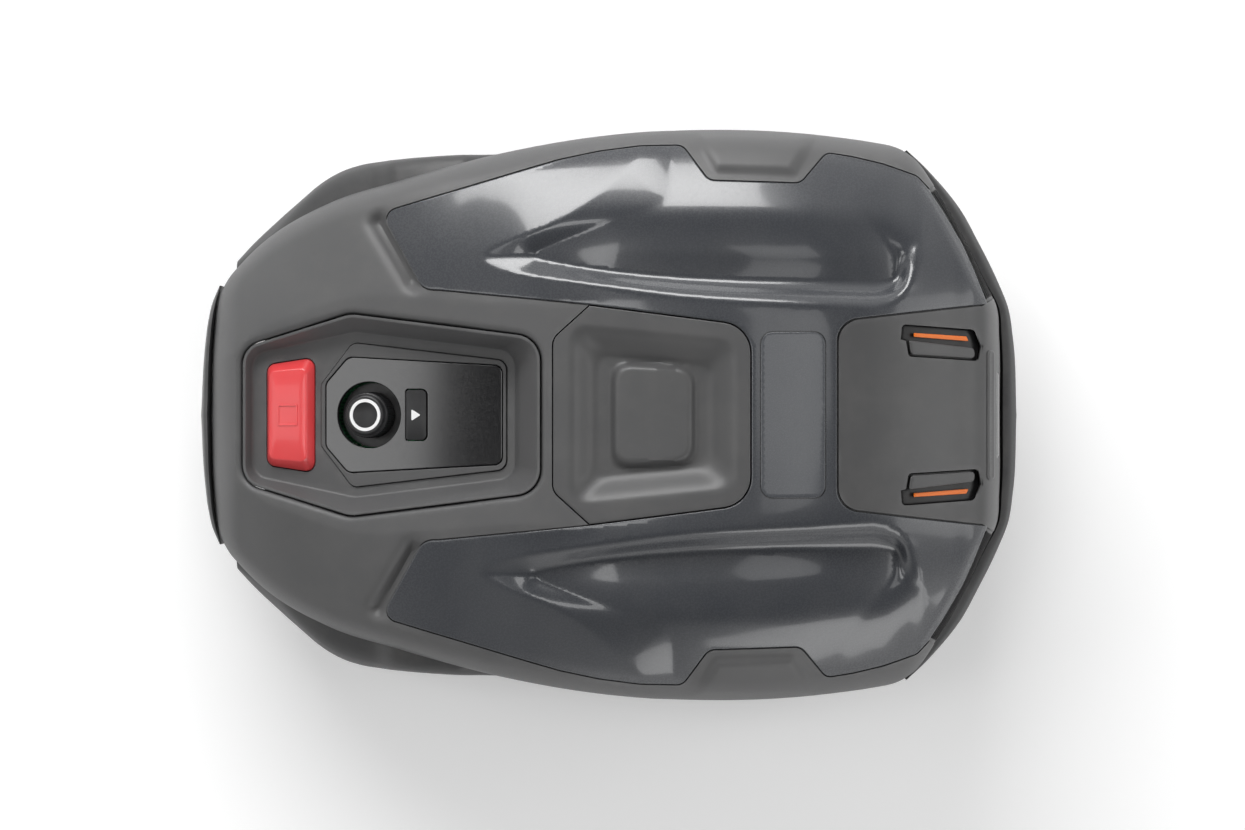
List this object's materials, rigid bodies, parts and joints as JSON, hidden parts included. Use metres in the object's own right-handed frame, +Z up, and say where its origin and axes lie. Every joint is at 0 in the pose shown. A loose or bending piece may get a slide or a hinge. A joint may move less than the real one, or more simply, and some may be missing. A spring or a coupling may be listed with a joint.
{
  "type": "robotic lawn mower",
  "caption": "Low rounded robotic lawn mower: floating shell with gloss top cover, rear stop button and knob console, driven rear wheels, swivel casters and a height-adjusted blade disc.",
  "frame": {"origin": "on the lawn, below the middle of the machine's outline", "axes": "+X forward, +Y the mower's left, +Z up"},
  "size_m": [0.658, 0.4478, 0.2751],
  "materials": {
    "shell_plastic": "fine grained",
    "fender_plastic": "fine grained",
    "bumper_rubber": "matt soft",
    "cover_gloss": "high gloss slate",
    "label_gloss": "satin slate",
    "hatch_satin": "satin",
    "nose_satin": "satin",
    "black_trim": "satin black",
    "orange_trim": "gloss orange",
    "display_gloss": "polished black",
    "stop_red": "satin red",
    "ring_white": "satin white",
    "chassis_plastic": "grained",
    "lid_plastic": "grained",
    "tyre_rubber": "matt",
    "rim_plastic": "satin",
    "steel": "brushed",
    "blade_steel": "bright",
    "zinc": "zinc plated",
    "bronze": "sintered",
    "contact_brass": "gold plated",
    "circuit_green": "solder resist",
    "cell_blue": "shrink wrap",
    "motor_metal": "satin",
    "seal_rubber": "matt",
    "gear_nylon": "moulded"
  },
  "bodies": {
    "chassis": {"chassis_tub": "chassis_plastic", "chassis_lid": "lid_plastic", "deck_dome": "lid_plastic", "suspension_cups": "black_trim", "battery_pack": "cell_blue", "battery_door": "chassis_plastic", "chassis_screws": "zinc", "main_board": "circuit_green", "wheel_motors": "motor_metal", "caster_bushes": "bronze", "charging_contacts": "contact_brass", "height_motor": "motor_metal", "guide_rods": "steel", "neck_seal": "seal_rubber"},
    "suspension_feet": {"suspension_feet": "seal_rubber"},
    "suspension_posts": {"suspension_posts": "seal_rubber"},
    "shell": {"main_shell": "shell_plastic", "bay_tray": "shell_plastic", "fenders": "fender_plastic", "front_bumper": "bumper_rubber", "rear_plate": "nose_satin", "nose_cover": "nose_satin", "headlights": "black_trim", "light_strips": "orange_trim", "vent_trims": "black_trim", "control_console": "shell_plastic", "module_frame": "shell_plastic", "display_glass": "display_gloss", "control_board": "circuit_green", "antenna_socket": "black_trim"},
    "top_cover": {"top_cover": "cover_gloss", "label_plate": "label_gloss"},
    "antenna_hatch": {"antenna_hatch": "hatch_satin"},
    "stop_button": {"stop_button": "stop_red"},
    "start_button": {"start_button": "black_trim"},
    "knob_stem": {"knob_stem": "black_trim"},
    "jog_knob": {"jog_knob": "black_trim", "knob_ring": "ring_white"},
    "cutting_deck": {"deck_carriage": "lid_plastic", "blade_motor": "motor_metal", "lift_nut": "gear_nylon"},
    "blade_disc": {"blade_disc": "chassis_plastic", "blade_shaft": "steel", "blade_screws": "zinc"},
    "skid_plate": {"skid_plate": "chassis_plastic"},
    "blade_1": {"blade_1": "blade_steel"},
    "blade_2": {"blade_2": "blade_steel"},
    "blade_3": {"blade_3": "blade_steel"},
    "lead_screw": {"lead_screw": "steel"},
    "drive_pinion": {"drive_pinion": "gear_nylon"},
    "wheel_left": {"tyre_left": "tyre_rubber", "rim_left": "rim_plastic", "hub_cap_left": "black_trim"},
    "wheel_right": {"tyre_right": "tyre_rubber", "rim_right": "rim_plastic", "hub_cap_right": "black_trim"},
    "caster_fork_left": {"caster_fork_left": "lid_plastic"},
    "caster_fork_right": {"caster_fork_right": "lid_plastic"},
    "caster_wheel_left": {"caster_tyre_left": "tyre_rubber", "caster_rim_left": "rim_plastic"},
    "caster_wheel_right": {"caster_tyre_right": "tyre_rubber", "caster_rim_right": "rim_plastic"}
  },
  "joints": [
    {"name": "bump_fore_aft", "type": "slide", "parent": "chassis", "child": "suspension_feet", "axis": [1, 0, 0], "range_m": [-0.006, 0.006], "stiffness_N_per_m": 6000},
    {"name": "bump_sideways", "type": "slide", "parent": "suspension_feet", "child": "suspension_posts", "axis": [0, 1, 0], "range_m": [-0.006, 0.006], "stiffness_N_per_m": 6000},
    {"name": "shell_lift", "type": "slide", "parent": "suspension_posts", "child": "shell", "axis": [0, 0, 1], "range_m": [0, 0.008]},
    {"name": "cover_lift_off", "type": "slide", "parent": "shell", "child": "top_cover", "axis": [0, 0, 1], "range_m": [0, 0.06]},
    {"name": "hatch_lift_off", "type": "slide", "parent": "shell", "child": "antenna_hatch", "axis": [0, 0, 1], "range_m": [0, 0.06]},
    {"name": "stop_press", "type": "slide", "parent": "shell", "child": "stop_button", "axis": [0.2419, 0, -0.9703], "range_m": [0, 0.004], "stiffness_N_per_m": 2000},
    {"name": "start_press", "type": "slide", "parent": "shell", "child": "start_button", "axis": [0.2419, 0, -0.9703], "range_m": [0, 0.0012], "stiffness_N_per_m": 1500},
    {"name": "knob_press", "type": "slide", "parent": "shell", "child": "knob_stem", "axis": [0.2419, 0, -0.9703], "range_m": [0, 0.0012], "stiffness_N_per_m": 3000},
    {"name": "knob_turn", "type": "hinge", "parent": "knob_stem", "child": "jog_knob", "pos_m": [-0.18601, 0, 0.19201], "axis": [-0.2419, 0, 0.9703], "continuous": true},
    {"name": "cutting_height", "type": "slide", "parent": "chassis", "child": "cutting_deck", "axis": [0, 0, 1], "range_m": [0, 0.04]},
    {"name": "lead_screw_turn", "type": "hinge", "parent": "chassis", "child": "lead_screw", "pos_m": [-0.031, 0, 0.15], "axis": [0, 0, 1], "range_deg": [-721, 1]},
    {"name": "pinion_turn", "type": "hinge", "parent": "chassis", "child": "drive_pinion", "pos_m": [0.0065, 0, 0.19], "axis": [0, 0, 1], "range_deg": [-2, 1853]},
    {"name": "blade_spin", "type": "hinge", "parent": "cutting_deck", "child": "blade_disc", "pos_m": [0.04, 0, 0.022], "axis": [0, 0, 1], "continuous": true},
    {"name": "skid_plate_spin", "type": "hinge", "parent": "blade_disc", "child": "skid_plate", "pos_m": [0.04, 0, 0.014], "axis": [0, 0, 1], "continuous": true},
    {"name": "blade_1_swing", "type": "hinge", "parent": "blade_disc", "child": "blade_1", "pos_m": [0.116, 0, 0.0204], "axis": [0, 0, 1], "continuous": true},
    {"name": "blade_2_swing", "type": "hinge", "parent": "blade_disc", "child": "blade_2", "pos_m": [0.002, 0.06582, 0.0204], "axis": [0, 0, 1], "continuous": true},
    {"name": "blade_3_swing", "type": "hinge", "parent": "blade_disc", "child": "blade_3", "pos_m": [0.002, -0.06582, 0.0204], "axis": [0, 0, 1], "continuous": true},
    {"name": "wheel_left_turn", "type": "hinge", "parent": "chassis", "child": "wheel_left", "pos_m": [-0.09, 0.162, 0.095], "axis": [0, 1, 0], "continuous": true},
    {"name": "wheel_right_turn", "type": "hinge", "parent": "chassis", "child": "wheel_right", "pos_m": [-0.09, -0.162, 0.095], "axis": [0, 1, 0], "continuous": true},
    {"name": "caster_left_swivel", "type": "hinge", "parent": "chassis", "child": "caster_fork_left", "pos_m": [0.19, 0.135, 0.126], "axis": [0, 0, 1], "continuous": true},
    {"name": "caster_left_roll", "type": "hinge", "parent": "caster_fork_left", "child": "caster_wheel_left", "pos_m": [0.172, 0.135, 0.05], "axis": [0, 1, 0], "continuous": true},
    {"name": "caster_right_swivel", "type": "hinge", "parent": "chassis", "child": "caster_fork_right", "pos_m": [0.19, -0.135, 0.126], "axis": [0, 0, 1], "continuous": true},
    {"name": "caster_right_roll", "type": "hinge", "parent": "caster_fork_right", "child": "caster_wheel_right", "pos_m": [0.172, -0.135, 0.05], "axis": [0, 1, 0], "continuous": true}
  ],
  "couplings": [
    {"joint": "lead_screw_turn", "follows": "cutting_height", "rad_per_m": -314.16},
    {"joint": "pinion_turn", "follows": "cutting_height", "rad_per_m": 807.84}
  ]
}
